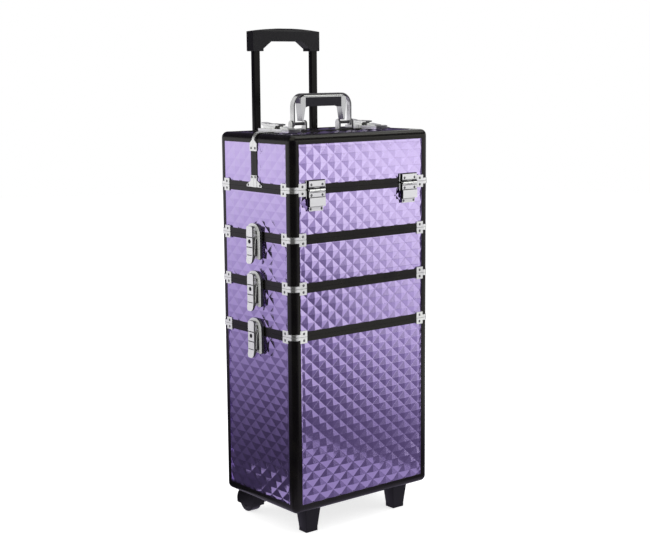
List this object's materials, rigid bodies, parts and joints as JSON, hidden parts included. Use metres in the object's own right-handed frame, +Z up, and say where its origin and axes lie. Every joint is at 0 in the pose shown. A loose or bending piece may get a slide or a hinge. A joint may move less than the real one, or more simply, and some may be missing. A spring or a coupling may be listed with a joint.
{
  "type": "rolling makeup case",
  "caption": "Tiered upright trolley case with embossed panels, lift-off trays, a split lid, key latches, a carry handle and a telescopic pull handle on feet and wheels.",
  "frame": {"origin": "centre of the footprint's bounding box, on the floor", "axes": "+Z up, the front wide face towards -Y, the trolley handle towards +Y, +X to the right seen from the front"},
  "size_m": [0.374, 0.2637, 0.9668],
  "materials": {
    "purple_skin": "metallic embossed sheet",
    "board": "black lined board",
    "black_frame": "black anodised",
    "chrome": "polished",
    "black_plastic": "moulded",
    "black_tube": "black anodised",
    "button": "moulded",
    "tyre": "matte",
    "hub": "moulded"
  },
  "bodies": {
    "base": {"base_boards": "board", "base_skins": "purple_skin", "base_frame": "black_frame", "base_brackets": "chrome", "base_latch_bases": "chrome", "front_feet": "black_plastic", "wheel_housings": "black_plastic", "wheel_axles": "chrome", "trolley_outer_tubes": "black_tube", "trolley_mounts": "black_plastic"},
    "lower_tray": {"lower_tray_boards": "board", "lower_tray_skins": "purple_skin", "lower_tray_frame": "black_frame", "lower_tray_brackets": "chrome", "lower_tray_strikes": "chrome", "lower_tray_latch_bases": "chrome"},
    "upper_tray": {"upper_tray_boards": "board", "upper_tray_skins": "purple_skin", "upper_tray_frame": "black_frame", "upper_tray_brackets": "chrome", "upper_tray_strikes": "chrome", "upper_tray_latch_bases": "chrome"},
    "top_case": {"top_case_boards": "board", "top_case_skins": "purple_skin", "top_case_frame": "black_frame", "top_case_brackets": "chrome", "top_case_strikes": "chrome", "top_case_hinge_leaves": "chrome", "hinge_pins": "chrome"},
    "front_lid": {"front_lid_boards": "board", "front_lid_skins": "purple_skin", "front_lid_frame": "black_frame", "front_lid_brackets": "chrome", "front_lid_hinge_leaves": "chrome", "front_lid_strikes": "chrome"},
    "back_lid": {"back_lid_boards": "board", "back_lid_skins": "purple_skin", "back_lid_frame": "black_frame", "back_lid_brackets": "chrome", "back_lid_hinge_leaves": "chrome", "back_lid_latch_bases": "chrome", "handle_brackets": "chrome"},
    "left_wheel": {"left_wheel_hub": "hub", "left_wheel_tyre": "tyre"},
    "right_wheel": {"right_wheel_hub": "hub", "right_wheel_tyre": "tyre"},
    "trolley_middle": {"trolley_middle_tubes": "black_tube"},
    "trolley_upper": {"trolley_upper_tubes": "black_tube", "trolley_grip": "black_plastic"},
    "release_button": {"release_button": "button"},
    "carry_handle": {"carry_bail": "chrome", "carry_grip": "black_plastic"},
    "base_left_lever": {"base_left_lever": "chrome"},
    "base_right_lever": {"base_right_lever": "chrome"},
    "lower_tray_left_lever": {"lower_tray_left_lever": "chrome"},
    "lower_tray_right_lever": {"lower_tray_right_lever": "chrome"},
    "upper_tray_left_lever": {"upper_tray_left_lever": "chrome"},
    "upper_tray_right_lever": {"upper_tray_right_lever": "chrome"},
    "top_left_lever": {"top_left_lever": "chrome"},
    "top_right_lever": {"top_right_lever": "chrome"}
  },
  "joints": [
    {"name": "left_wheel_spin", "type": "hinge", "parent": "base", "child": "left_wheel", "pos_m": [-0.128, 0.08185, 0.0225], "axis": [1, 0, 0], "continuous": true},
    {"name": "right_wheel_spin", "type": "hinge", "parent": "base", "child": "right_wheel", "pos_m": [0.128, 0.08185, 0.0225], "axis": [1, 0, 0], "continuous": true},
    {"name": "trolley_middle_slide", "type": "slide", "parent": "base", "child": "trolley_middle", "axis": [0, 0, 1], "range_m": [-0.26, 0]},
    {"name": "trolley_upper_slide", "type": "slide", "parent": "trolley_middle", "child": "trolley_upper", "axis": [0, 0, 1], "range_m": [-0.26, 0]},
    {"name": "release_button_press", "type": "slide", "parent": "trolley_upper", "child": "release_button", "axis": [0, 0, 1], "range_m": [-0.004, 0], "stiffness_N_per_m": 500},
    {"name": "lower_tray_lift", "type": "slide", "parent": "base", "child": "lower_tray", "axis": [0, 0, 1], "range_m": [0, 0.12]},
    {"name": "upper_tray_lift", "type": "slide", "parent": "lower_tray", "child": "upper_tray", "axis": [0, 0, 1], "range_m": [0, 0.12]},
    {"name": "top_case_lift", "type": "slide", "parent": "upper_tray", "child": "top_case", "axis": [0, 0, 1], "range_m": [0, 0.12]},
    {"name": "front_lid_hinge", "type": "hinge", "parent": "top_case", "child": "front_lid", "pos_m": [0, -0.12815, 0.66715], "axis": [1, 0, 0], "range_deg": [0, 100]},
    {"name": "back_lid_hinge", "type": "hinge", "parent": "top_case", "child": "back_lid", "pos_m": [0, 0.10985, 0.66715], "axis": [-1, 0, 0], "range_deg": [0, 4]},
    {"name": "carry_handle_swing", "type": "hinge", "parent": "back_lid", "child": "carry_handle", "pos_m": [0, 0.00085, 0.782], "axis": [1, 0, 0], "range_deg": [-85, 85]},
    {"name": "base_left_latch", "type": "hinge", "parent": "base", "child": "base_left_lever", "pos_m": [-0.1768, -0.00915, 0.36], "axis": [0, -1, 0], "range_deg": [0, 35]},
    {"name": "base_right_latch", "type": "hinge", "parent": "base", "child": "base_right_lever", "pos_m": [0.1768, -0.00915, 0.36], "axis": [0, 1, 0], "range_deg": [0, 35]},
    {"name": "lower_tray_left_latch", "type": "hinge", "parent": "lower_tray", "child": "lower_tray_left_lever", "pos_m": [-0.1768, -0.00915, 0.451], "axis": [0, -1, 0], "range_deg": [0, 35]},
    {"name": "lower_tray_right_latch", "type": "hinge", "parent": "lower_tray", "child": "lower_tray_right_lever", "pos_m": [0.1768, -0.00915, 0.451], "axis": [0, 1, 0], "range_deg": [0, 35]},
    {"name": "upper_tray_left_latch", "type": "hinge", "parent": "upper_tray", "child": "upper_tray_left_lever", "pos_m": [-0.1768, -0.00915, 0.542], "axis": [0, -1, 0], "range_deg": [0, 35]},
    {"name": "upper_tray_right_latch", "type": "hinge", "parent": "upper_tray", "child": "upper_tray_right_lever", "pos_m": [0.1768, -0.00915, 0.542], "axis": [0, 1, 0], "range_deg": [0, 35]},
    {"name": "top_left_latch", "type": "hinge", "parent": "back_lid", "child": "top_left_lever", "pos_m": [-0.10825, 0.02385, 0.7758], "axis": [-1, 0, 0], "range_deg": [0, 35]},
    {"name": "top_right_latch", "type": "hinge", "parent": "back_lid", "child": "top_right_lever", "pos_m": [0.10825, 0.02385, 0.7758], "axis": [-1, 0, 0], "range_deg": [0, 35]}
  ]
}
